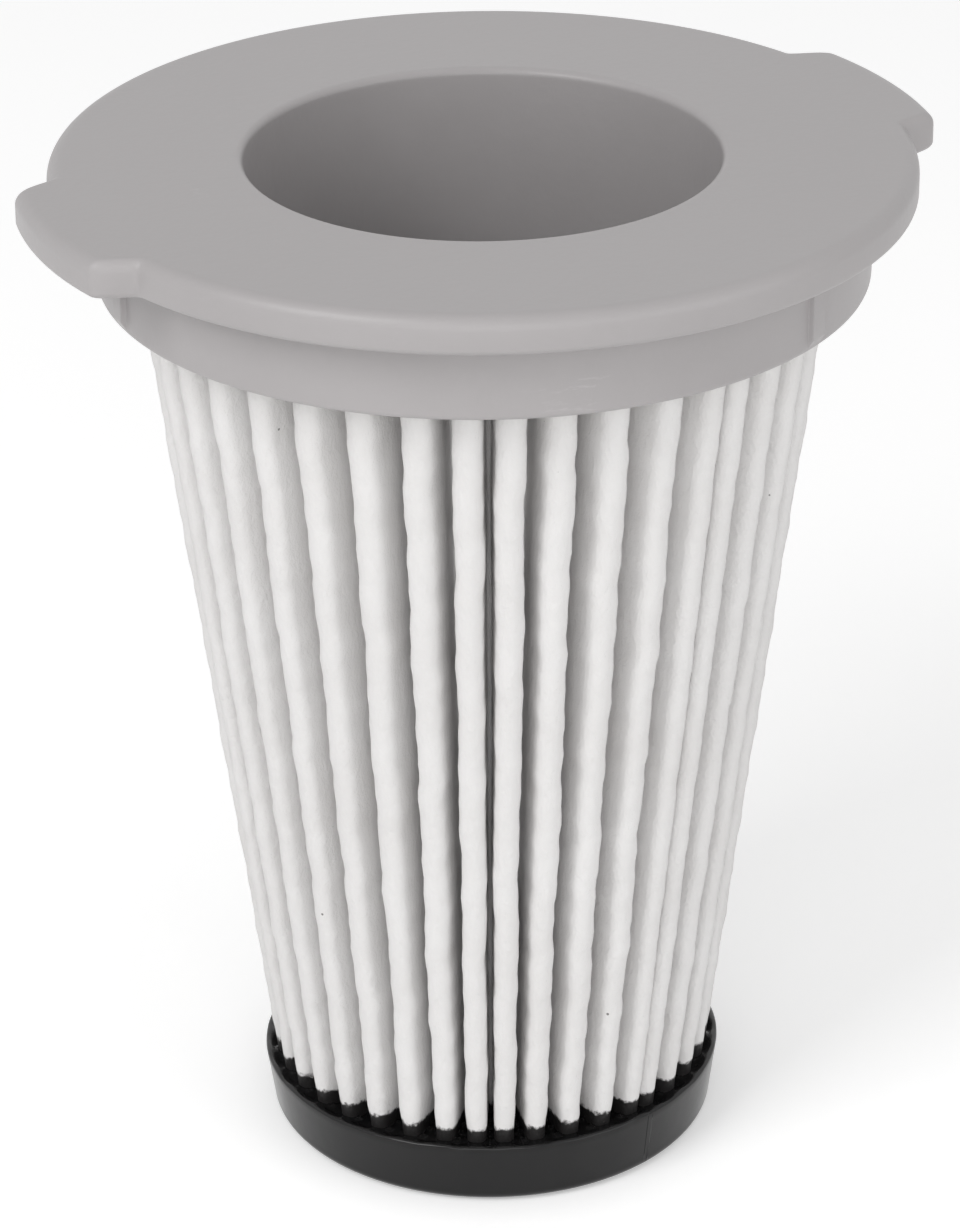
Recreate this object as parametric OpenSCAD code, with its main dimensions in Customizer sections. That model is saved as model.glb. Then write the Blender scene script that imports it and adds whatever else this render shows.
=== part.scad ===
// Cone cartridge filter of a stick vacuum cleaner.
// It stands on its closed end. The origin is the middle of that end, +Z is up,
// and the two ears of the flange point along +X and -X. Millimetres and degrees.

/* [Whole cartridge] */
// Height from the foot of the end cap to the top of the flange
cartridge_h = 116.5; // [105:0.5:130]

/* [Flange and ears] */
// Radius of the round flange
flange_r = 46.5; // [45:0.1:48]
// Thickness of the flange plate
flange_t = 4.2; // [3.4:0.1:5]
// Rounding of the flange's upper edge
flange_round = 1.6; // [0.8:0.1:2]
// Rounding of the flange's lower edge
flange_under_round = 0.7; // [0.3:0.1:0.9]
// Radius out to the tips of the ears
ear_r = 50.3; // [49:0.1:52]
// Half of the angle that the tip of an ear covers
ear_half_a = 12.2; // [8:0.1:18]
// Angle over which the side of an ear runs down to the flange
ear_side_a = 4.4; // [3:0.1:8]

/* [Collar and throat] */
// Outside radius of the collar under the flange
collar_r = 41.7; // [41:0.1:43]
// Wall of the collar
collar_wall = 2.3; // [1.6:0.1:2.6]
// How far the collar reaches below the flange
collar_h = 9; // [8:0.5:14]
// Rounding of the collar's lower edge
collar_round = 0.5; // [0.2:0.1:0.7]
// Radius of the throat that the clean air leaves through
throat_r = 25.6; // [24:0.1:26.5]
// Length of the throat sleeve, from the top of the flange
throat_len = 24; // [18:0.5:25]
// Wall of the throat sleeve
throat_wall = 1.4; // [1:0.1:1.6]
// Rounding of the throat's upper edge
throat_round = 0.8; // [0.4:0.1:1.2]

/* [Locating ribs] */
// Number of upright ribs around the collar
rib_count = 3; // [2:1:6]
// Width of a rib
rib_w = 2.4; // [1.6:0.1:4]
// How far a rib stands proud of the collar
rib_proud = 0.6; // [0.3:0.1:1]

/* [Pleated media] */
// Number of pleats around the cone
pleat_count = 37; // [30:1:38]
// Spacing of the valleys at the lower end, measured around the cone
valley_pitch = 2.785; // [2.6:0.005:3]
// Depth of a pleat at the lower end, from crest to valley
pleat_depth = 8; // [6:0.1:9]
// Thickness of the media
sheet_t = 0.5; // [0.3:0.05:0.55]
// Gap between the crests and the collar's inner wall
crest_gap = 1.1; // [0.5:0.1:2]
// Gap between the valleys and the lower end of the throat sleeve
sleeve_gap = 0.45; // [0.2:0.05:1]
// Roundness of a crest at the upper end
crest_top_r = 1.5; // [1.2:0.05:1.7]
// Roundness of a crest at the lower end
crest_foot_r = 1.05; // [0.9:0.05:1.1]
// Roundness of a valley
valley_r = 0.25; // [0.2:0.01:0.28]
// How much closer the pleats stand at the seam of the strip
seam_gather = 0.31; // [0:0.01:0.35]
// How much closer the odd pair of pleats stands
odd_gather = 0.65; // [0:0.01:0.7]
// How far the upper ends of the pleats are turned from the lower ends
pack_turn = 1.3; // [0:0.1:3]

/* [End cap] */
// Resin around the crests at the foot of the end cap
foot_cover = 1.1; // [0.6:0.1:2]
// How much wider the end cap is at its rim than at its foot
cap_flare = 0.8; // [0.5:0.1:2]
// Height of the end cap's rim
cap_h = 7.2; // [6:0.1:9]
// Rounding of the end cap's lower edge
cap_round = 1.2; // [0.6:0.1:1.6]
// Resin under the lower end of the pleats
cap_floor = 2.5; // [1.8:0.1:3.5]
// How far the resin dips between rim and pleats
cap_dip = 0.5; // [0.2:0.1:0.8]

/* [Bond] */
// How deep the pleats stand in the adhesive under the flange
bond_grip = 4.3; // [3:0.1:5]
// Adhesive between the upper end of the pleats and the flange
bond_over = 1.5; // [1:0.1:2]

/* [Hidden] */

// How round the turned forms are drawn
$fn = 120;
// Overlap that cuts and joins of one moulding run past each other
bite = 0.5;
// Steps in a rounded edge of the flange plate
edge_steps = 5;
// Steps along one side of an ear, along its tip, and along the round between
side_steps = 7;
tip_steps = 8;
round_steps = 34;
// Azimuth of the strip's seam, and of the odd pair seen from the seam
seam_a = 244.6;
odd_a = 49.2;
// Half-widths of the two gathered stretches
seam_spread = 11;
odd_spread = 3;
// Steps in half a crest and half a valley
crest_steps = 2;
valley_steps = 1;
// Azimuth of the first rib, and the taper at the foot of a rib
rib_first_a = 60;
rib_taper = 1;
rib_root = 1;

flange_low_z = cartridge_h - flange_t;
collar_low_z = flange_low_z - collar_h;
throat_low_z = cartridge_h - throat_len;
throat_outer_r = throat_r + throat_wall;
channel_r = collar_r - collar_wall;
media_foot_z = cap_floor;
media_top_z = flange_low_z - bond_over;
bond_low_z = media_top_z - bond_grip;

// Radii of the pleats. At the lower end the valleys stand side by side and the
// depth of a pleat sets the crests. At the upper end the crests keep clear of
// the collar, and the valleys' slant clears the lower end of the throat sleeve.
valley_foot_r = pleat_count * valley_pitch / (2 * PI);
pack_foot_r = valley_foot_r + pleat_depth;
pack_top_r = channel_r - crest_gap;
sleeve_share = (throat_low_z - media_foot_z) / (media_top_z - media_foot_z);
valley_sleeve_r = throat_outer_r + sleeve_gap + sheet_t;
valley_top_r = valley_foot_r + (valley_sleeve_r - valley_foot_r) / sleeve_share;

// The two ends of the cone: [crest radius, valley radius, bend of a crest, turn]
foot_ring = [pack_foot_r, valley_foot_r, crest_foot_r, 0];
top_ring = [pack_top_r, valley_top_r, crest_top_r, pack_turn];

// Radii of the end cap, which covers the feet of the pleats
cap_foot_r = pack_foot_r + foot_cover;
cap_rim_r = cap_foot_r + cap_flare;

// Outline of the flange in plan: a circle with two ears on the X axis
function fall(x) = x <= 0 ? 1 : x >= 1 ? 0 : 1 - x * x * (3 - 2 * x);
function off_axis(a) = abs(a - 180 * round(a / 180));
function edge_r(a) =
    flange_r + (ear_r - flange_r) * fall((off_axis(a) - ear_half_a) / ear_side_a);

// Azimuths at which the outline is drawn, closest along the sides of the ears
ear_end_a = ear_half_a + ear_side_a;
function span(from, to, steps) = [for (i = [0:steps - 1]) from + (to - from) * i / steps];
outline_a = [
    for (ear = [0, 180])
        each [
            for (a = span(-ear_end_a, -ear_half_a, side_steps)) ear + a,
            for (a = span(-ear_half_a, ear_half_a, tip_steps)) ear + a,
            for (a = span(ear_half_a, ear_end_a, side_steps)) ear + a,
            for (a = span(ear_end_a, 180 - ear_end_a, round_steps)) ear + a,
        ]
];

// Levels of the plate's edge, from the lower face to the upper one: [inset, height]
edge_levels = [
    for (i = [0:edge_steps])
        let (a = 90 * i / edge_steps)
            [flange_under_round * (1 - sin(a)), flange_under_round * (1 - cos(a))],
    for (i = [0:edge_steps])
        let (a = 90 * i / edge_steps)
            [flange_round * (1 - cos(a)), flange_t - flange_round * (1 - sin(a))],
];

// The flange plate with its ears, each level of the edge one ring of points
module flange_plate() {
    n = len(outline_a);
    levels = len(edge_levels);
    rings = [
        for (level = edge_levels)
            for (a = outline_a)
                let (r = edge_r(a) - level[0])
                    [r * cos(a), r * sin(a), flange_low_z + level[1]]
    ];
    low_mid = n * levels;
    high_mid = low_mid + 1;
    polyhedron(
        points = concat(rings, [[0, 0, flange_low_z], [0, 0, cartridge_h]]),
        faces = [
            for (k = [0:levels - 2])
                for (i = [0:n - 1])
                    let (p = k * n + i, q = k * n + (i + 1) % n)
                        each [[p, p + n, q], [q, p + n, q + n]],
            for (i = [0:n - 1]) [i, (i + 1) % n, low_mid],
            for (i = [0:n - 1])
                [(levels - 1) * n + (i + 1) % n, (levels - 1) * n + i, high_mid],
        ]
    );
}

// Half section of a tube wall whose lower edges are rounded on the outside
module wall_section(inner_r, outer_r, low_z, high_z, edge) {
    union() {
        translate([inner_r, low_z + edge])
            square([outer_r - inner_r, high_z - low_z - edge]);
        translate([inner_r, low_z])
            square([outer_r - inner_r - edge, edge + bite]);
        translate([outer_r - edge, low_z + edge])
            circle(edge);
    }
}

// One rib, with its foot sloped in towards the collar
module rib(a) {
    rotate([90, 0, a])
        translate([0, 0, -rib_w / 2])
            linear_extrude(rib_w)
                polygon([
                    [collar_r - rib_root, flange_low_z + bite],
                    [collar_r + rib_proud, flange_low_z + bite],
                    [collar_r + rib_proud, collar_low_z + rib_taper + collar_round],
                    [collar_r, collar_low_z + collar_round],
                    [collar_r - rib_root, collar_low_z + collar_round],
                ]);
}

// Flange, ears, collar, ribs and throat sleeve are one moulding
module frame() {
    color([0.61, 0.60, 0.60])
        difference() {
            union() {
                flange_plate();
                rotate_extrude()
                    wall_section(channel_r, collar_r, collar_low_z, flange_low_z + bite, collar_round);
                rotate_extrude()
                    wall_section(throat_r - bite, throat_outer_r, throat_low_z, flange_low_z + bite,
                                 throat_wall / 3);
                for (i = [0:rib_count - 1])
                    rib(rib_first_a + 360 * i / rib_count);
            }
            translate([0, 0, throat_low_z - bite])
                cylinder(r = throat_r, h = throat_len + 2 * bite);
            throat_lip();
        }
}

// Ring that is cut away to round the throat's upper edge
module throat_lip() {
    rotate_extrude()
        difference() {
            translate([throat_r - bite, cartridge_h - throat_round])
                square([throat_round + bite, throat_round + bite]);
            translate([throat_r + throat_round, cartridge_h - throat_round])
                circle(throat_round);
        }
}

// Azimuth of a place along the strip, where u runs from -180 to 180 around the
// cone: an even spacing, less a bell around the seam and one around the odd pair
function bell_sum(u, mid, spread, amount) =
    amount * spread * (atan((u - mid) / spread) + atan(mid / spread)) * PI / 180;
function gathered(u) =
    bell_sum(u, 0, seam_spread, seam_gather) + bell_sum(u, odd_a, odd_spread, odd_gather);
gather_total = gathered(180) - gathered(-180);
function strip_a(u) = seam_a + u * (1 + gather_total / 360) - gathered(u);
function crest_a(k) = strip_a(-180 + 360 * k / pleat_count);
function valley_a(k) = strip_a(-180 + 360 * (k - 0.5) / pleat_count);

// One half of a pleat in plan, from crest to valley. A crest bends round one
// centre and a valley round another, and the flank is the line that touches
// both. The two faces of the sheet share centres and flank, so the sheet
// keeps one thickness. The face at inset 0 is the dusty one.
function polar(r, a) = [r * cos(a), r * sin(a)];
function half_pleat(crest, valley, ring, inset) =
    let (
        bend_r = ring[2],
        c = polar(ring[0] - bend_r, crest),
        v = polar(ring[1] + valley_r, valley),
        gap = v - c,
        turn = sign(valley - crest),
        flank_a = atan2(gap[1], gap[0]) - turn * acos((bend_r + valley_r) / norm(gap)),
        swing = flank_a - crest - 360 * round((flank_a - crest) / 360),
        turn_v = valley - crest - swing
    )
    concat(
        [for (i = [0:crest_steps]) c + polar(bend_r - inset, crest + swing * i / crest_steps)],
        [for (i = [0:valley_steps - 1])
            v - polar(valley_r + inset, crest + swing + turn_v * i / valley_steps)]
    );
function backwards(list) = [for (i = [len(list) - 1:-1:0]) list[i]];
function without_first(list) = [for (i = [1:len(list) - 1]) list[i]];

// One whole pleat, counterclockwise, from the valley before it up to its crest
// and down to the point ahead of the next valley
function pleat(k, ring, inset) =
    let (
        crest = crest_a(k) + ring[3],
        valley = valley_a(k) + ring[3],
        next_valley = valley_a(k + 1) + ring[3],
        before = half_pleat(crest, valley, ring, inset),
        after = half_pleat(crest, next_valley, ring, inset)
    )
    concat([polar(ring[1] - inset, valley)], backwards(before), without_first(after));
function fold_line(ring, inset) = [for (k = [0:pleat_count - 1]) each pleat(k, ring, inset)];
function lifted(line, z) = [for (p = line) [p[0], p[1], z]];

// The folded strip, closed into a cone: four fold lines joined by faces
module pleated_media() {
    foot_out = fold_line(foot_ring, 0);
    foot_in = fold_line(foot_ring, sheet_t);
    top_out = fold_line(top_ring, 0);
    top_in = fold_line(top_ring, sheet_t);
    n = len(foot_out);
    color([0.90, 0.89, 0.88])
        polyhedron(
            points = concat(
                lifted(foot_out, media_foot_z), lifted(foot_in, media_foot_z),
                lifted(top_out, media_top_z), lifted(top_in, media_top_z)
            ),
            faces = [
                for (i = [0:n - 1])
                    let (j = (i + 1) % n)
                        each [
                            [i, 2 * n + i, j], [j, 2 * n + i, 2 * n + j],
                            [n + i, n + j, 3 * n + i], [n + j, 3 * n + j, 3 * n + i],
                            [i, j, n + i], [j, n + j, n + i],
                            [2 * n + i, 3 * n + i, 2 * n + j], [2 * n + j, 3 * n + i, 3 * n + j],
                        ]
            ]
        );
}

// Half section of the end cap: rounded foot, drafted wall, and a rim that the
// resin has crept up to while it dips in towards the pleats
module cap_section() {
    polygon([
        [0, 0],
        [cap_foot_r - cap_round, 0],
        [cap_foot_r, cap_round],
        [cap_rim_r, cap_h],
        [pack_foot_r, cap_h - cap_dip],
        [0, cap_h - cap_dip],
    ]);
    translate([cap_foot_r - cap_round, cap_round])
        circle(cap_round);
}

// The cast end cap, moulded around the feet of the pleats
module end_cap() {
    color([0.07, 0.07, 0.07])
        difference() {
            rotate_extrude()
                cap_section();
            pleated_media();
        }
}

// The adhesive that holds the upper ends of the pleats in the channel
module bonding_ring() {
    color([0.85, 0.83, 0.76])
        difference() {
            rotate_extrude()
                translate([throat_outer_r, bond_low_z])
                    square([channel_r - throat_outer_r, flange_low_z - bond_low_z]);
            pleated_media();
        }
}

frame();
pleated_media();
end_cap();
bonding_ring();
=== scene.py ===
"""A pleated cone filter for a stick vacuum: grey eared frame, white folded media, black cast end cap.

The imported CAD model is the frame. Three of its four nodes get a finer surface here, worked out
with numpy from the same measures as the part's source, and the bond keeps its CAD node.
Measures are in millimetres and degrees, and the meshes are in metres.
"""

import bpy
import numpy as np
from mathutils import Matrix, Vector


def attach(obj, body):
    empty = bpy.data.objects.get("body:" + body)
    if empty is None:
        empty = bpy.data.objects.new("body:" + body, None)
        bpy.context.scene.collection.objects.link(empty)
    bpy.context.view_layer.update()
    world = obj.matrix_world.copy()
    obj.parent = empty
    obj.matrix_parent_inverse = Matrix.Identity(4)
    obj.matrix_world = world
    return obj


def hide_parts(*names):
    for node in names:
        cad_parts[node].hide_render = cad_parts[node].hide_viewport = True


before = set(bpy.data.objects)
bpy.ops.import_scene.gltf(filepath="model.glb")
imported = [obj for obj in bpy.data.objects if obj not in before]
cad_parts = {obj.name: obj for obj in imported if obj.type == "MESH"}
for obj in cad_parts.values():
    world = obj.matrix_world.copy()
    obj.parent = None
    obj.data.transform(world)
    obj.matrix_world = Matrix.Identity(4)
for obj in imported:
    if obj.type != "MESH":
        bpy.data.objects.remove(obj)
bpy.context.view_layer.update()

MM = 0.001

# Whole cartridge, flange and ears
CARTRIDGE_H = 116.5
FLANGE_R = 46.5
FLANGE_T = 4.2
FLANGE_ROUND = 1.6
FLANGE_UNDER_ROUND = 0.7
EAR_R = 50.3
EAR_HALF_A = 12.2
EAR_SIDE_A = 4.4

# Collar, throat and locating ribs
COLLAR_R = 41.7
COLLAR_WALL = 2.3
COLLAR_H = 9.0
COLLAR_ROUND = 0.5
COLLAR_FILLET = 0.35
THROAT_R = 25.6
THROAT_LEN = 24.0
THROAT_WALL = 1.4
THROAT_ROUND = 0.8
RIB_A = np.array([60.0, 180.0, 300.0])
RIB_W = 2.4
RIB_PROUD = 0.6
RIB_TAPER = 1.0
RIB_EDGE = 0.22

# Pleated media
PLEATS = 37
VALLEY_PITCH = 2.785
PLEAT_DEPTH = 8.0
SHEET_T = 0.5
CREST_GAP = 1.1
SLEEVE_GAP = 0.45
CREST_TOP_R = 1.5
CREST_FOOT_R = 1.05
VALLEY_R = 0.25
SEAM_A = 244.6
SEAM_SPREAD = 11.0
SEAM_GATHER = 0.31
ODD_A = 49.2
ODD_SPREAD = 3.0
ODD_GATHER = 0.65
PACK_TURN = 1.3

# End cap and bond
FOOT_COVER = 1.1
CAP_FLARE = 0.8
CAP_H = 7.2
CAP_ROUND = 1.2
CAP_FLOOR = 2.5
CAP_DIP = 0.5
CAP_LIP = 0.3
RESIN_TILT = 0.45
RESIN_TILT_A = 285.0
RESIN_CREEP = 0.5
RESIN_CREEP_REACH = 0.45
RESIN_RIPPLE = 0.07
RESIN_SEED = 5
WICK_H = 1.5
BOND_OVER = 1.5

# Unevenness of the pleats
CREST_SIDEWAYS = 0.16
CREST_OUTWARD = 0.10
BELLY = 0.16
BELLY_VARIES = 0.07
PLEAT_SEED = 37

# Levels and radii that follow from these
FLANGE_LOW_Z = CARTRIDGE_H - FLANGE_T
COLLAR_LOW_Z = FLANGE_LOW_Z - COLLAR_H
THROAT_LOW_Z = CARTRIDGE_H - THROAT_LEN
THROAT_OUTER_R = THROAT_R + THROAT_WALL
CHANNEL_R = COLLAR_R - COLLAR_WALL
MEDIA_FOOT_Z = CAP_FLOOR
MEDIA_TOP_Z = FLANGE_LOW_Z - BOND_OVER
VALLEY_FOOT_R = PLEATS * VALLEY_PITCH / (2 * np.pi)
PACK_FOOT_R = VALLEY_FOOT_R + PLEAT_DEPTH
PACK_TOP_R = CHANNEL_R - CREST_GAP
SLEEVE_SHARE = (THROAT_LOW_Z - MEDIA_FOOT_Z) / (MEDIA_TOP_Z - MEDIA_FOOT_Z)
VALLEY_SLEEVE_R = THROAT_OUTER_R + SLEEVE_GAP + SHEET_T
VALLEY_TOP_R = VALLEY_FOOT_R + (VALLEY_SLEEVE_R - VALLEY_FOOT_R) / SLEEVE_SHARE
CAP_FOOT_R = PACK_FOOT_R + FOOT_COVER
CAP_RIM_R = CAP_FOOT_R + CAP_FLARE


# Surfaces

def polar(r, a):
    """Plan point at radius r and azimuth a, as a complex number."""
    return r * np.exp(1j * np.radians(a))


def fall(x):
    """Step from 1 at x = 0 down to 0 at x = 1, level at both ends: 1 - x^2 (3 - 2x)."""
    x = np.clip(x, 0, 1)
    return 1 - x * x * (3 - 2 * x)


def waves(along, rows, wavelengths, rng):
    """Smooth seeded unevenness: for each row of the result, a sum of sines of the given
    wavelengths with phases of its own, scaled to about -1 to 1."""
    phase = rng.uniform(0, 2 * np.pi, (rows, len(wavelengths), 1))
    height = rng.uniform(0.6, 1.0, (rows, len(wavelengths), 1))
    turns = 2 * np.pi * along[None, None, :] / np.array(wavelengths)[None, :, None]
    return (height * np.sin(turns + phase)).sum(1) / np.sqrt(len(wavelengths))


def line(start, end, steps):
    """Points of a straight stroke, both ends included."""
    return np.linspace(start, end, steps)


def arc(centre, radius, from_a, to_a, steps):
    """Points of a round stroke: centre plus radius along each angle."""
    a = np.radians(np.linspace(from_a, to_a, steps))
    return np.column_stack([centre[0] + radius * np.cos(a), centre[1] + radius * np.sin(a)])


def profile(*strokes):
    """One half section made of strokes end to end, with doubled points left out."""
    points = np.concatenate(strokes)
    step = np.linalg.norm(np.diff(points, axis=0), axis=1)
    return points[np.concatenate([[True], step > 1e-4])]


def lattice(name, x, y, z, poles=None):
    """Mesh of a lattice of points whose columns run once around the axis.

    Row k and row k + 1 are joined by quads. Without poles the last row joins the first one,
    which gives a ring with a closed section. With poles the first and last row each close
    on one point on the axis, at the two given heights. Faces are turned to face outwards:
    the signed volume of the mesh decides.
    """
    rows, columns = x.shape
    points = np.stack([x, y, z], -1).reshape(-1, 3)
    index = np.arange(rows * columns).reshape(rows, columns)
    if poles is None:
        index = np.vstack([index, index[:1]])
    here, right = index, np.roll(index, -1, axis=1)
    quads = np.stack([here[:-1], right[:-1], right[1:], here[1:]], -1).reshape(-1, 4)
    corners = points[quads]
    triangles = np.concatenate([corners[:, [0, 1, 2]], corners[:, [0, 2, 3]]])
    volume = np.einsum("ij,ij->", triangles[:, 0], np.cross(triangles[:, 1], triangles[:, 2]))
    if poles is not None:
        first, last = len(points), len(points) + 1
        points = np.vstack([points, [[0, 0, poles[0]], [0, 0, poles[1]]]])
        fans = np.concatenate([
            np.stack([right[0], here[0], np.full(columns, first)], -1),
            np.stack([here[-1], right[-1], np.full(columns, last)], -1),
        ])
    else:
        fans = np.empty((0, 3), int)
    if volume < 0:
        quads, fans = quads[:, ::-1], fans[:, ::-1]
    mesh = bpy.data.meshes.new(name)
    mesh.from_pydata((points * MM).tolist(), [], quads.tolist() + fans.tolist())
    mesh.polygons.foreach_set("use_smooth", np.ones(len(mesh.polygons), bool))
    mesh.update()
    piece = bpy.data.objects.new(name, mesh)
    bpy.context.scene.collection.objects.link(piece)
    return piece


def point_value(piece, name, values):
    """Stores one number per point of the mesh, for its material to read."""
    layer = piece.data.attributes.new(name, "FLOAT", "POINT")
    layer.data.foreach_set("value", values.astype(np.float32))


# Grey frame: flange with ears, collar with ribs, and throat sleeve

def flange_edge(a):
    """Radius of the flange's outline: the round flange, stepping out to the ears on the X axis."""
    off_axis = np.abs(a - 180 * np.round(a / 180))
    return FLANGE_R + (EAR_R - FLANGE_R) * fall((off_axis - EAR_HALF_A) / EAR_SIDE_A)


def crowded_azimuths(count, marks, spread, weight):
    """Azimuths around the axis that stand closer together near each mark. Their density is 1
    plus a bell around every mark, and they sit where its running sum reaches equal steps."""
    fine = np.linspace(0, 360, 36001)
    away = np.abs((fine[:, None] - marks + 180) % 360 - 180)
    density = 1 + (weight * np.exp(-(away / spread) ** 2)).sum(1)
    total = np.concatenate([[0], np.cumsum((density[1:] + density[:-1]) / 2)])
    return np.interp(np.arange(count) / count * total[-1], total, fine)


def frame_section():
    """Half section of the frame, from the throat's lower end up through the throat, over the
    flange and down the collar, then through the channel and down the outside of the sleeve."""
    lip_r = THROAT_R + THROAT_ROUND
    edge_r = FLANGE_R - FLANGE_ROUND
    under_r = FLANGE_R - FLANGE_UNDER_ROUND
    fillet_r = COLLAR_R + COLLAR_FILLET
    heel_r = COLLAR_R - COLLAR_ROUND
    soft = 0.2
    sleeve_round = THROAT_WALL / 3
    return profile(
        line((THROAT_R, THROAT_LOW_Z + soft), (THROAT_R, CARTRIDGE_H - THROAT_ROUND - 0.3), 7),
        arc((lip_r, CARTRIDGE_H - THROAT_ROUND), THROAT_ROUND, 180, 90, 8),
        line((lip_r + 0.3, CARTRIDGE_H), (edge_r - 0.4, CARTRIDGE_H), 7),
        arc((edge_r, CARTRIDGE_H - FLANGE_ROUND), FLANGE_ROUND, 90, 0, 10),
        arc((under_r, FLANGE_LOW_Z + FLANGE_UNDER_ROUND), FLANGE_UNDER_ROUND, 0, -90, 7),
        line((under_r - 0.25, FLANGE_LOW_Z), (fillet_r + 0.25, FLANGE_LOW_Z), 4),
        arc((fillet_r, FLANGE_LOW_Z - COLLAR_FILLET), COLLAR_FILLET, 90, 180, 5),
        line((COLLAR_R, FLANGE_LOW_Z - COLLAR_FILLET - 0.25),
             (COLLAR_R, COLLAR_LOW_Z + COLLAR_ROUND + RIB_TAPER), 5),
        line((COLLAR_R, COLLAR_LOW_Z + COLLAR_ROUND + RIB_TAPER),
             (COLLAR_R, COLLAR_LOW_Z + COLLAR_ROUND + 0.15), 4),
        arc((heel_r, COLLAR_LOW_Z + COLLAR_ROUND), COLLAR_ROUND, 0, -90, 6),
        line((heel_r - 0.15, COLLAR_LOW_Z), (CHANNEL_R + soft + 0.15, COLLAR_LOW_Z), 2),
        arc((CHANNEL_R + soft, COLLAR_LOW_Z + soft), soft, 270, 180, 4),
        line((CHANNEL_R, COLLAR_LOW_Z + soft + 0.3), (CHANNEL_R, FLANGE_LOW_Z), 4),
        line((CHANNEL_R, FLANGE_LOW_Z), (THROAT_OUTER_R, FLANGE_LOW_Z), 4),
        line((THROAT_OUTER_R, FLANGE_LOW_Z), (THROAT_OUTER_R, THROAT_LOW_Z + sleeve_round + 0.2), 7),
        arc((THROAT_OUTER_R - sleeve_round, THROAT_LOW_Z + sleeve_round), sleeve_round, 0, -90, 5),
        arc((THROAT_R + soft, THROAT_LOW_Z + soft), soft, 270, 180, 4)[:-1],
    )


def make_filter_frame():
    """The section swept around the axis. Its radius grows by two shares: that of the ears, from
    none at the collar to all of it at the flange's edge, and that of the ribs on the collar."""
    section = frame_section()
    r, z = section[:, :1], section[:, 1:]
    rib_sides = np.degrees(np.array([-1, 1]) * RIB_W / 2 / COLLAR_R)
    marks = (RIB_A[:, None] + rib_sides).ravel()
    ear_sides = np.array([-1, 1]) * (EAR_HALF_A + EAR_SIDE_A / 2)
    ear_marks = (np.array([0, 180])[:, None] + ear_sides).ravel()
    spread = np.concatenate([np.full(len(marks), 0.3), np.full(len(ear_marks), 3.0)])
    weight = np.concatenate([np.full(len(marks), 14.0), np.full(len(ear_marks), 2.0)])
    a = crowded_azimuths(640, np.concatenate([marks, ear_marks]), spread, weight)[None, :]

    ear_from = COLLAR_R + 1
    ear_share = np.clip((r - ear_from) / (FLANGE_R - FLANGE_ROUND - ear_from), 0, 1)
    on_wall = (z < FLANGE_LOW_Z + 0.01) * np.clip((r - COLLAR_R + COLLAR_ROUND) / COLLAR_ROUND, 0, 1)
    off_wall = np.clip(1 - (r - COLLAR_R - COLLAR_FILLET) / 1.5, 0, 1)
    taper = np.clip((z - COLLAR_LOW_Z - COLLAR_ROUND) / RIB_TAPER, 0, 1)
    rib_share = on_wall * off_wall * taper
    from_rib = np.abs((a[..., None] - RIB_A + 180) % 360 - 180).min(-1)
    beside_rib = np.radians(from_rib) * COLLAR_R - RIB_W / 2
    rib_height = RIB_PROUD * fall(beside_rib / RIB_EDGE + 0.5)

    plan_r = r + ear_share * (flange_edge(a) - FLANGE_R) + rib_share * rib_height
    flat = np.ones_like(a)
    return lattice("filter_frame", plan_r * np.cos(np.radians(a)), plan_r * np.sin(np.radians(a)),
                   z * flat)


# Folded media

def strip_azimuth(u):
    """Azimuth of a place on the strip, with u from -180 to 180 around the cone: even spacing,
    less a bell of gathering at the seam and one at the odd pair of pleats."""
    def bell_sum(at, mid, spread, amount):
        return amount * spread * (np.arctan((at - mid) / spread) + np.arctan(mid / spread))

    def gathered(at):
        return (bell_sum(at, 0.0, SEAM_SPREAD, SEAM_GATHER)
                + bell_sum(at, ODD_A, ODD_SPREAD, ODD_GATHER))

    total = gathered(180.0) - gathered(-180.0)
    return SEAM_A + u * (1 + total / 360) - gathered(u)


CREST_STEPS = 4
FLANK_STEPS = 4
VALLEY_STEPS = 2
STRIP_K = np.arange(PLEATS)
CREST_A = strip_azimuth(-180 + 360 * STRIP_K / PLEATS)
VALLEY_A = strip_azimuth(-180 + 360 * (STRIP_K - 0.5) / PLEATS)
NEXT_VALLEY_A = strip_azimuth(-180 + 360 * (STRIP_K + 0.5) / PLEATS)


def half_fold(valley_a, ring, inset):
    """Plan points of half of every pleat, from crest to valley: the crest's arc, the straight
    flank that touches both bends, and the valley's arc. A ring of the cone gives the crest
    radius, the valley radius, the bend of a crest and the turn. Both faces of the sheet share
    the bends' centres, and inset says how far a face lies from the dusty one."""
    crest_r, valley_r, bend, turn = ring
    crest, valley = CREST_A + turn, valley_a + turn
    c = polar(crest_r - bend, crest)
    v = polar(valley_r + VALLEY_R, valley)
    side = np.sign(valley - crest)
    lean = np.degrees(np.arccos((bend + VALLEY_R) / np.abs(v - c)))
    swing = (np.degrees(np.angle(v - c)) - side * lean - crest + 180) % 360 - 180
    bend_t = np.linspace(0, 1, CREST_STEPS + 1)
    hollow_t = np.linspace(0, 1, VALLEY_STEPS + 1)
    flank_t = np.arange(1, FLANK_STEPS) / FLANK_STEPS
    over = c[:, None] + polar(bend - inset, crest[:, None] + swing[:, None] * bend_t)
    back = (valley - crest - swing)[:, None] * hollow_t
    under = v[:, None] - polar(VALLEY_R + inset, (crest + swing)[:, None] + back)
    flank = over[:, -1:] + (under[:, :1] - over[:, -1:]) * flank_t
    return np.concatenate([over, flank, under], axis=1)


def fold_line(ring, inset):
    """Plan points of the whole folded strip, pleat by pleat, each from the bottom of the valley
    before it over its crest to just short of the next valley."""
    before = half_fold(VALLEY_A, ring, inset)[:, ::-1]
    after = half_fold(NEXT_VALLEY_A, ring, inset)[:, 1:-1]
    return np.concatenate([before, after], axis=1)


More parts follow.
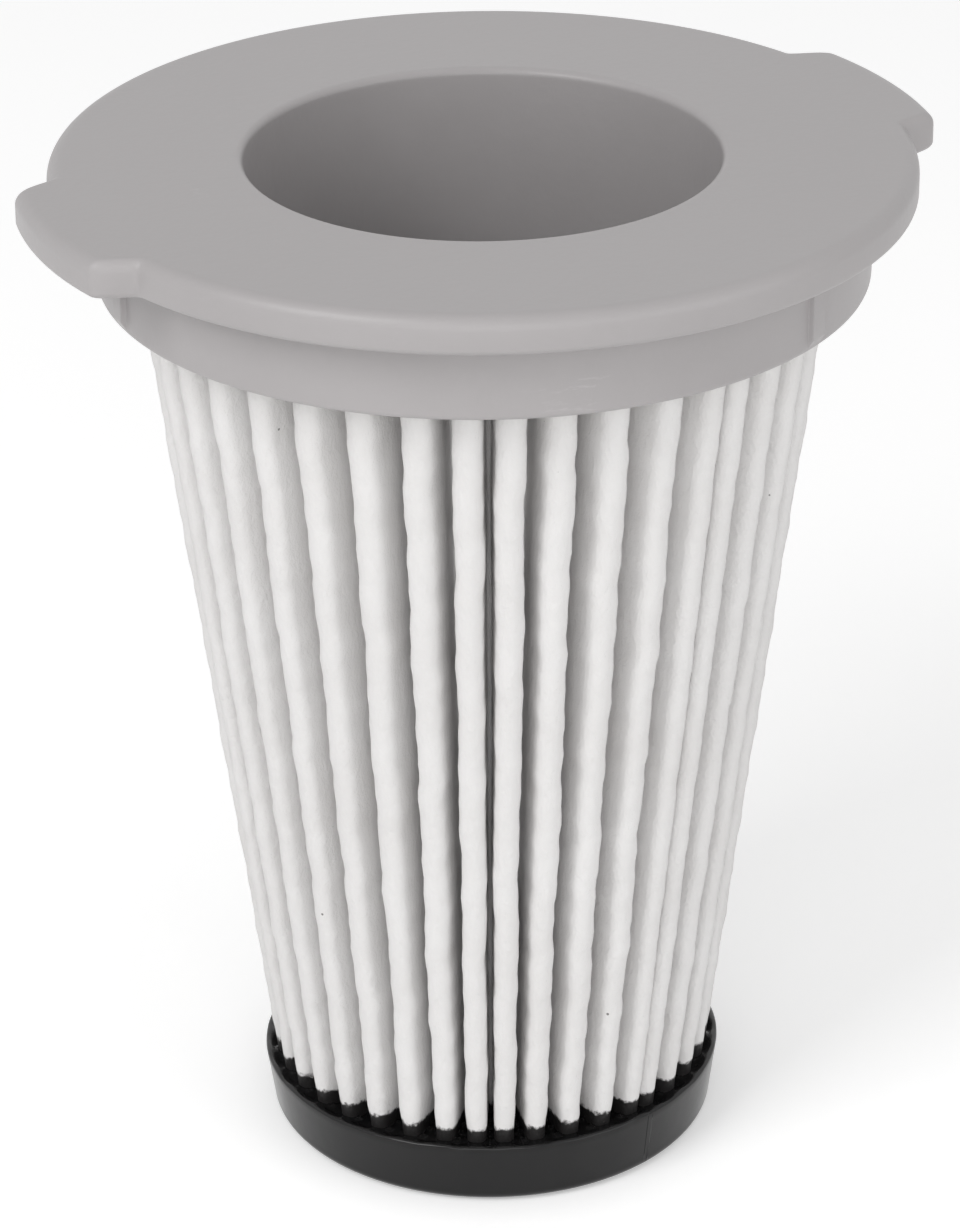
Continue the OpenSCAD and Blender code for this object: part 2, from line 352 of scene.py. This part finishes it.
FOOT_RING = (PACK_FOOT_R, VALLEY_FOOT_R, CREST_FOOT_R, 0.0)
TOP_RING = (PACK_TOP_R, VALLEY_TOP_R, CREST_TOP_R, PACK_TURN)


def pleat_shares():
    """For every point of one pleat: how much it belongs to the crest, from 0 in the valley to
    1 on the crest, and how far it lies on the belly of a flank, with the flank's side as sign."""
    half = CREST_STEPS + FLANK_STEPS + VALLEY_STEPS
    crest = np.ones(half + 1)
    crest[CREST_STEPS:] = np.linspace(1, 0, half + 1 - CREST_STEPS)
    belly = np.zeros(half + 1)
    belly[1:CREST_STEPS + FLANK_STEPS] = np.sin(
        np.linspace(0, np.pi, CREST_STEPS + FLANK_STEPS + 1)[1:-1])
    return (np.concatenate([crest[::-1], crest[1:-1]]),
            np.concatenate([-belly[::-1], belly[1:-1]]))


def media_skin(z, inset):
    """One face of the sheet as a lattice of plan points, rows up the cone. Each row is the fold
    line between those of the foot and the top, moved a little by seeded waves: every crest
    wanders sideways and in and out, and every flank has a belly. The waves die away at the
    two ends, where the resin and the bond hold the pleats."""
    t = ((z - MEDIA_FOOT_Z) / (MEDIA_TOP_Z - MEDIA_FOOT_Z))[:, None, None]
    plan = fold_line(FOOT_RING, inset) * (1 - t) + fold_line(TOP_RING, inset) * t
    rng = np.random.default_rng(PLEAT_SEED)
    sideways = CREST_SIDEWAYS * waves(z, PLEATS, (47, 21, 9.5, 4.3), rng)
    outward = CREST_OUTWARD * waves(z, PLEATS, (31, 12, 6.1, 3.1), rng)
    left_belly = BELLY + BELLY_VARIES * waves(z, PLEATS, (38, 17, 7.3), rng)
    right_belly = BELLY + BELLY_VARIES * waves(z, PLEATS, (35, 15, 6.7), rng)
    room = np.minimum(CREST_A - VALLEY_A, NEXT_VALLEY_A - CREST_A) / (180 / PLEATS)
    free = np.clip((z - CAP_H) / 5, 0, 1) * np.clip((MEDIA_TOP_Z - z) / 6, 0, 1)
    crest, belly = pleat_shares()
    hold = (free[:, None] * room[None, :])[..., None]
    out = polar(1.0, CREST_A)[None, :, None]
    left, right = np.maximum(-belly, 0), np.maximum(belly, 0)
    side = (sideways.T[..., None] * crest
            + right_belly.T[..., None] * right - left_belly.T[..., None] * left)
    plan = plan + hold * out * (outward.T[..., None] * crest ** 2 + 1j * side)
    return plan.reshape(len(z), -1)


def make_filter_media():
    """The folded strip as one closed ring: up the dusty face, over its upper edge, down the
    clean face and round its lower edge."""
    outer_z = np.concatenate([[MEDIA_FOOT_Z, 4.8], np.linspace(6.4, MEDIA_TOP_Z, 92)])
    inner_z = np.linspace(MEDIA_FOOT_Z, MEDIA_TOP_Z, 22)
    outer, inner = media_skin(outer_z, 0.0), media_skin(inner_z, SHEET_T)
    plan = np.vstack([outer, inner[::-1]])
    z = np.concatenate([outer_z, inner_z[::-1]])[:, None] * np.ones((1, plan.shape[1]))
    piece = lattice("filter_media", plan.real, plan.imag, z)
    crest = np.tile(pleat_shares()[0], PLEATS)
    point_value(piece, "crest", np.tile(crest, len(z)))
    return piece


# Cast end cap

def cap_level(plan):
    """Height of the resin's rim at a plan point: the nominal height, tilted a little because
    the resin set on a slope."""
    uphill = polar(1.0, RESIN_TILT_A)
    return CAP_H + RESIN_TILT * (plan * np.conj(uphill)).real / CAP_RIM_R


def make_end_cap():
    """The cast resin on a polar lattice: the top from its middle to the rim, the drafted wall,
    the rounded foot and the flat bottom. The top dips inside the rim and creeps up where it
    wets the pleats, by an exponential of the distance to the fold line. A faint ripple runs
    along the rim and dies away where the lattice closes."""
    foot_z = (CAP_H - MEDIA_FOOT_Z) / (MEDIA_TOP_Z - MEDIA_FOOT_Z)
    at_level = [f + (t - f) * foot_z for f, t in zip(FOOT_RING, TOP_RING)]
    dusty = fold_line(at_level, 0.0).ravel()
    columns = len(dusty)
    a = np.degrees(np.unwrap(np.angle(dusty)))
    r = np.concatenate([np.linspace(2, 14, 7), np.linspace(14.8, CAP_RIM_R - CAP_LIP - 0.05, 52)])
    plan = polar(r[:, None], a[None, :])

    near = (np.arange(columns)[:, None] + np.arange(-32, 33)) % columns
    line_points = dusty[near]
    apart = np.abs(plan[:, :, None] - line_points[None]).min(-1)
    creep = np.exp(-apart / RESIN_CREEP_REACH)
    dish = fall((CAP_RIM_R - CAP_LIP - r) / 1.3)[:, None]
    rng = np.random.default_rng(RESIN_SEED)
    ripple = RESIN_RIPPLE * waves(np.arange(columns) * 0.22, 1, (23.0, 9.0, 5.2), rng)[0]
    ripple = ripple * fall(np.abs(a - a[0] - 180) / 30 - 5)
    top_z = cap_level(plan) - CAP_DIP * (1 - dish) + RESIN_CREEP * creep + ripple * dish

    lip_a = np.radians(np.linspace(75, 0, 5))
    lip_r = CAP_RIM_R - CAP_LIP * (1 - np.cos(lip_a))
    rim_plan = polar(lip_r[:, None], a[None, :])
    rim_z = cap_level(rim_plan) + ripple - CAP_LIP * (1 - np.sin(lip_a))[:, None]
    foot_arc = arc((CAP_FOOT_R - CAP_ROUND, CAP_ROUND), CAP_ROUND, 0, -90, 9)
    wall_t = np.linspace(0, 1, 10)[1:-1, None]
    wall_r = lip_r[-1] + (CAP_FOOT_R - lip_r[-1]) * wall_t
    wall_z = rim_z[-1] + (CAP_ROUND - rim_z[-1]) * wall_t
    base_r = np.linspace(CAP_FOOT_R - CAP_ROUND - 0.6, 3, 6)
    around = np.ones((1, columns))
    radius = np.vstack([r[:, None] * around, lip_r[:, None] * around, wall_r * around,
                        foot_arc[:, :1] * around, base_r[:, None] * around])
    height = np.vstack([top_z, rim_z, wall_z, foot_arc[:, 1:] * around,
                        0 * base_r[:, None] * around])
    plan = polar(radius, a[None, :])
    return lattice("end_cap_resin", plan.real, plan.imag, height,
                   poles=(CAP_H - CAP_DIP, 0.0))


# Materials

class Nodes:
    """The node tree of one material, with short words for what the materials below need."""

    def __init__(self, name):
        self.material = bpy.data.materials.new(name)
        self.material.use_nodes = True
        self.tree = self.material.node_tree
        self.shader = self.tree.nodes["Principled BSDF"]
        self.place = self.add("ShaderNodeTexCoord").outputs["Object"]

    def add(self, kind, **settings):
        node = self.tree.nodes.new(kind)
        for key, value in settings.items():
            setattr(node, key, value)
        return node

    def link(self, source, socket):
        self.tree.links.new(source, socket)

    def put(self, socket, value):
        if isinstance(value, (int, float, tuple)):
            socket.default_value = value
        else:
            self.link(value, socket)

    def noise(self, scale, detail=3.0, rough=0.55, stretch=(1, 1, 1), twist=0.0):
        """Cloudy noise on Object coordinates, with features about 1 / scale metres wide."""
        mapping = self.add("ShaderNodeMapping")
        mapping.inputs["Scale"].default_value = stretch
        self.link(self.place, mapping.inputs["Vector"])
        node = self.add("ShaderNodeTexNoise")
        node.inputs["Scale"].default_value = scale
        node.inputs["Detail"].default_value = detail
        node.inputs["Roughness"].default_value = rough
        node.inputs["Distortion"].default_value = twist
        self.link(mapping.outputs["Vector"], node.inputs["Vector"])
        return node.outputs["Fac"]

    def cells(self, scale):
        """Distance to the nearest of many scattered points, for specks and dust."""
        node = self.add("ShaderNodeTexVoronoi", feature="F1")
        node.inputs["Scale"].default_value = scale
        self.link(self.place, node.inputs["Vector"])
        return node.outputs["Distance"]

    def ramp(self, value, low, high, to_low=0.0, to_high=1.0, smooth=False):
        """Maps low to high onto to_low to to_high, held at both ends."""
        node = self.add("ShaderNodeMapRange", clamp=True)
        node.interpolation_type = "SMOOTHSTEP" if smooth else "LINEAR"
        self.put(node.inputs["Value"], value)
        for key, number in (("From Min", low), ("From Max", high),
                            ("To Min", to_low), ("To Max", to_high)):
            node.inputs[key].default_value = number
        return node.outputs["Result"]

    def math(self, operation, a, b=0.0):
        node = self.add("ShaderNodeMath", operation=operation)
        self.put(node.inputs[0], a)
        self.put(node.inputs[1], b)
        return node.outputs["Value"]

    def mix(self, share, a, b):
        """Blends two colours."""
        node = self.add("ShaderNodeMix", data_type="RGBA")
        self.put(node.inputs["Factor"], share)
        self.put(node.inputs["A"], a)
        self.put(node.inputs["B"], b)
        return node.outputs["Result"]

    def bump(self, height, depth, strength=1.0):
        """Bump of the given depth in metres, laid over whatever bump is there already."""
        node = self.add("ShaderNodeBump")
        node.inputs["Distance"].default_value = depth
        node.inputs["Strength"].default_value = strength
        self.link(height, node.inputs["Height"])
        normal = self.shader.inputs["Normal"]
        if normal.is_linked:
            self.link(normal.links[0].from_socket, node.inputs["Normal"])
        self.link(node.outputs["Normal"], normal)

    def axis(self, name):
        node = self.add("ShaderNodeSeparateXYZ")
        self.link(self.place, node.inputs["Vector"])
        return node.outputs[name]

    def near(self, point, reach):
        """1 at a point of the object, falling to 0 at reach, both in millimetres."""
        node = self.add("ShaderNodeVectorMath", operation="DISTANCE")
        self.link(self.place, node.inputs[0])
        node.inputs[1].default_value = tuple(v * MM for v in point)
        return self.ramp(node.outputs["Value"], 0.0, reach * MM, 1.0, 0.0, smooth=True)


def frame_plastic():
    """Moulded grey plastic, satin: faint mottling, fine mould texture and a few scuffs."""
    n = Nodes("moulded_grey_plastic")
    mottle = n.ramp(n.noise(55, 4), 0.3, 0.7)
    grain = n.ramp(n.noise(900, 3), 0.35, 0.65)
    colour = n.mix(mottle, (0.372, 0.355, 0.357, 1), (0.392, 0.375, 0.377, 1))
    scuff_marks = n.ramp(n.noise(420, 4, 0.7, stretch=(0.5, 0.5, 2.6)), 0.60, 0.70)
    on_collar = n.near((-8.1, -41.4, 105.5), 9)
    on_flange = n.near((-33.0, 2.0, 116.5), 7)
    scuffs = n.math("MULTIPLY", scuff_marks, n.math("MAXIMUM", on_collar, on_flange))
    colour = n.mix(n.math("MULTIPLY", scuffs, 0.35), colour, (0.56, 0.55, 0.55, 1))
    n.link(colour, n.shader.inputs["Base Color"])
    worn = n.math("ADD", n.ramp(mottle, 0, 1, 0.36, 0.44), n.math("MULTIPLY", scuffs, 0.15))
    n.link(worn, n.shader.inputs["Roughness"])
    n.shader.inputs["IOR"].default_value = 1.45
    n.bump(grain, 0.000012)
    n.bump(n.noise(140, 2), 0.00004)
    return n.material


def media_felt():
    """White non-woven: fibres of two sizes, soft sheen, stray dark specks, and the dark zone
    where the resin has wicked up the feet of the pleats."""
    n = Nodes("white_non_woven")
    crest = n.add("ShaderNodeAttribute", attribute_name="crest").outputs["Fac"]
    fibre = n.noise(1500, 4, 0.6, stretch=(1, 1, 0.55), twist=0.6)
    felt = n.noise(420, 5, 0.65)
    cloud = n.ramp(n.noise(90, 3), 0.3, 0.7)
    colour = n.mix(cloud, (0.735, 0.722, 0.715, 1), (0.775, 0.765, 0.76, 1))
    distance = n.cells(430)
    speck_size = n.ramp(n.noise(60, 2), 0.62, 0.72, 0.0, 0.13)
    speck = n.math("LESS_THAN", distance, speck_size)
    colour = n.mix(n.math("MULTIPLY", speck, 0.75), colour, (0.08, 0.075, 0.07, 1))

    wick_h = n.math("MULTIPLY", crest, WICK_H * MM)
    edge_noise = n.math("MULTIPLY", n.math("SUBTRACT", n.noise(1300, 3, 0.7), 0.5), 1.6 * MM)
    slope = polar(RESIN_TILT / CAP_RIM_R, RESIN_TILT_A)
    tilt = n.math("MULTIPLY", n.axis("X"), float(slope.real))
    tilt = n.math("ADD", tilt, n.math("MULTIPLY", n.axis("Y"), float(slope.imag)))
    level = n.math("SUBTRACT", n.math("SUBTRACT", n.axis("Z"), tilt), wick_h)
    level = n.math("ADD", level, edge_noise)
    wicked = n.ramp(level, (CAP_H - 0.1) * MM, (CAP_H + 0.45) * MM, 1.0, 0.0, smooth=True)
    colour = n.mix(wicked, colour, (0.018, 0.017, 0.017, 1))
    n.link(colour, n.shader.inputs["Base Color"])
    n.link(n.ramp(wicked, 0, 1, 0.85, 0.42), n.shader.inputs["Roughness"])
    n.shader.inputs["Specular IOR Level"].default_value = 0.25
    n.bump(n.ramp(felt, 0.2, 0.8), 0.00012)
    n.bump(n.ramp(fibre, 0.25, 0.75), 0.00006)
    return n.material


def cast_resin():
    """Black casting resin: glossy, with faint swirls in the gloss and specks of dust."""
    n = Nodes("black_cast_resin")
    swirl = n.ramp(n.noise(70, 4, twist=1.2), 0.3, 0.7)
    colour = n.mix(swirl, (0.0065, 0.0065, 0.0068, 1), (0.0105, 0.0100, 0.0102, 1))
    distance = n.cells(210)
    dust_size = n.ramp(n.noise(45, 2), 0.55, 0.75, 0.0, 0.10)
    dust = n.math("LESS_THAN", distance, dust_size)
    colour = n.mix(n.math("MULTIPLY", dust, 0.5), colour, (0.10, 0.10, 0.10, 1))
    n.link(colour, n.shader.inputs["Base Color"])
    n.link(n.math("ADD", n.ramp(swirl, 0, 1, 0.12, 0.22), n.math("MULTIPLY", dust, 0.4)),
           n.shader.inputs["Roughness"])
    n.shader.inputs["Specular IOR Level"].default_value = 0.3
    n.bump(n.noise(260, 2), 0.00003)
    return n.material


def cream_adhesive():
    """Cured cream adhesive: low gloss, slightly lumpy, with small voids."""
    n = Nodes("cream_adhesive")
    lumps = n.ramp(n.noise(120, 4), 0.3, 0.7)
    colour = n.mix(lumps, (0.66, 0.62, 0.50, 1), (0.74, 0.70, 0.60, 1))
    n.link(colour, n.shader.inputs["Base Color"])
    n.link(n.ramp(lumps, 0, 1, 0.35, 0.5), n.shader.inputs["Roughness"])
    n.bump(n.noise(320, 3), 0.0001)
    return n.material


# Pieces and their places in the model

def dress(piece, material, node):
    piece.data.materials.clear()
    piece.data.materials.append(material)
    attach(piece, "root")
    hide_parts(node)


dress(make_filter_frame(), frame_plastic(), "frame")
dress(make_filter_media(), media_felt(), "pleated_media")
dress(make_end_cap(), cast_resin(), "end_cap")

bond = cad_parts["bonding_ring"]
bond_material = cream_adhesive()
if not bond.material_slots:
    bond.data.materials.append(bond_material)
for slot in bond.material_slots:
    slot.material = bond_material


# Floor, light and camera

def make_floor():
    """A large pale sheet under the foot. It is white where the camera sees it in the light."""
    half, drop = 3.0, 0.0002
    corners = [(-half, -half, -drop), (half, -half, -drop), (half, half, -drop), (-half, half, -drop)]
    mesh = bpy.data.meshes.new("studio_floor")
    mesh.from_pydata(corners, [], [(0, 1, 2, 3)])
    floor = bpy.data.objects.new("studio_floor", mesh)
    bpy.context.scene.collection.objects.link(floor)
    n = Nodes("studio_paper")
    n.shader.inputs["Base Color"].default_value = (0.92, 0.92, 0.92, 1)
    n.shader.inputs["Roughness"].default_value = 0.9
    n.shader.inputs["Specular IOR Level"].default_value = 0.0
    path = n.add("ShaderNodeLightPath")
    seen = n.math("MAXIMUM", path.outputs["Is Camera Ray"],
                  n.math("MAXIMUM", path.outputs["Is Glossy Ray"],
                         path.outputs["Is Transmission Ray"]))
    n.shader.inputs["Emission Color"].default_value = (1, 1, 1, 1)
    n.link(n.math("MULTIPLY", seen, 0.30), n.shader.inputs["Emission Strength"])
    mesh.materials.append(n.material)


def make_world():
    """Even pale surroundings: white where seen or mirrored, softer where they light the part."""
    world = bpy.data.worlds.new("studio")
    bpy.context.scene.world = world
    world.use_nodes = True
    tree = world.node_tree
    background = tree.nodes["Background"]
    background.inputs["Color"].default_value = (1, 1, 1, 1)
    path = tree.nodes.new("ShaderNodeLightPath")
    seen = tree.nodes.new("ShaderNodeMath")
    seen.operation = "MAXIMUM"
    tree.links.new(path.outputs["Is Camera Ray"], seen.inputs[0])
    tree.links.new(path.outputs["Is Glossy Ray"], seen.inputs[1])
    strength = tree.nodes.new("ShaderNodeMapRange")
    strength.inputs["To Min"].default_value = 0.55
    strength.inputs["To Max"].default_value = 1.0
    tree.links.new(seen.outputs[0], strength.inputs["Value"])
    tree.links.new(strength.outputs["Result"], background.inputs["Strength"])


def area_light(name, place, aim, size, power):
    """A soft square lamp at a place in metres, turned to face a point on the part."""
    data = bpy.data.lights.new(name, "AREA")
    data.shape = "SQUARE"
    data.size = size
    data.energy = power
    lamp = bpy.data.objects.new(name, data)
    lamp.location = place
    lamp.rotation_mode = "QUATERNION"
    lamp.rotation_quaternion = (Vector(aim) - Vector(place)).to_track_quat("-Z", "Y")
    bpy.context.scene.collection.objects.link(lamp)


# The photograph's viewpoint, worked out from the flange, the throat and the cone
CAMERA_A = 245.2
CAMERA_AWAY = 475.0
CAMERA_H = 295.6
CAMERA_PITCH = 26.263
CAMERA_YAW = -0.099
CAMERA_ROLL = -0.6
FOCAL_PX = 4735.15
LONG_SIDE_PX = 1229


def make_camera():
    """The camera stands at its azimuth, distance and height, and looks at the axis with the
    given pitch, yaw and roll. Returns the turn from the camera's frame to the part's."""
    pitch, yaw, roll = np.radians([CAMERA_PITCH, CAMERA_YAW, CAMERA_ROLL])
    ahead = np.array([np.sin(yaw) * np.cos(pitch), np.cos(yaw) * np.cos(pitch), -np.sin(pitch)])
    level = np.array([np.cos(yaw), -np.sin(yaw), 0.0])
    rise = np.cross(level, ahead)
    right = np.cos(roll) * level + np.sin(roll) * rise
    up = np.cos(roll) * rise - np.sin(roll) * level
    turn = np.radians(CAMERA_A - 270)
    spin = np.array([[np.cos(turn), -np.sin(turn), 0], [np.sin(turn), np.cos(turn), 0], [0, 0, 1]])
    place = spin @ np.array([0, -CAMERA_AWAY, CAMERA_H]) * MM
    pose = np.eye(4)
    pose[:3, :3] = (spin @ np.column_stack([right, up, -ahead]))
    pose[:3, 3] = place
    data = bpy.data.cameras.new("camera")
    data.sensor_width = 36.0
    data.lens = FOCAL_PX / LONG_SIDE_PX * data.sensor_width
    data.clip_start = 0.02
    data.clip_end = 20
    camera = bpy.data.objects.new("camera", data)
    bpy.context.scene.collection.objects.link(camera)
    camera.matrix_world = Matrix(pose.tolist())
    bpy.context.scene.camera = camera
    return spin


make_floor()
make_world()
to_object = make_camera()


def studio(right, away, up):
    """A place given as seen from the camera: to the right, away and up, in metres."""
    return tuple(to_object @ np.array([right, away, up]))


MIDDLE = (0, 0, 0.07)
area_light("key", studio(-0.55, -0.55, 0.75), MIDDLE, 0.45, 3.6)
area_light("fill", studio(0.70, -0.50, 0.35), MIDDLE, 0.6, 1.2)
area_light("front", studio(0.0, -0.9, 0.30), MIDDLE, 0.6, 1.8)

bpy.context.scene.view_settings.view_transform = "Standard"
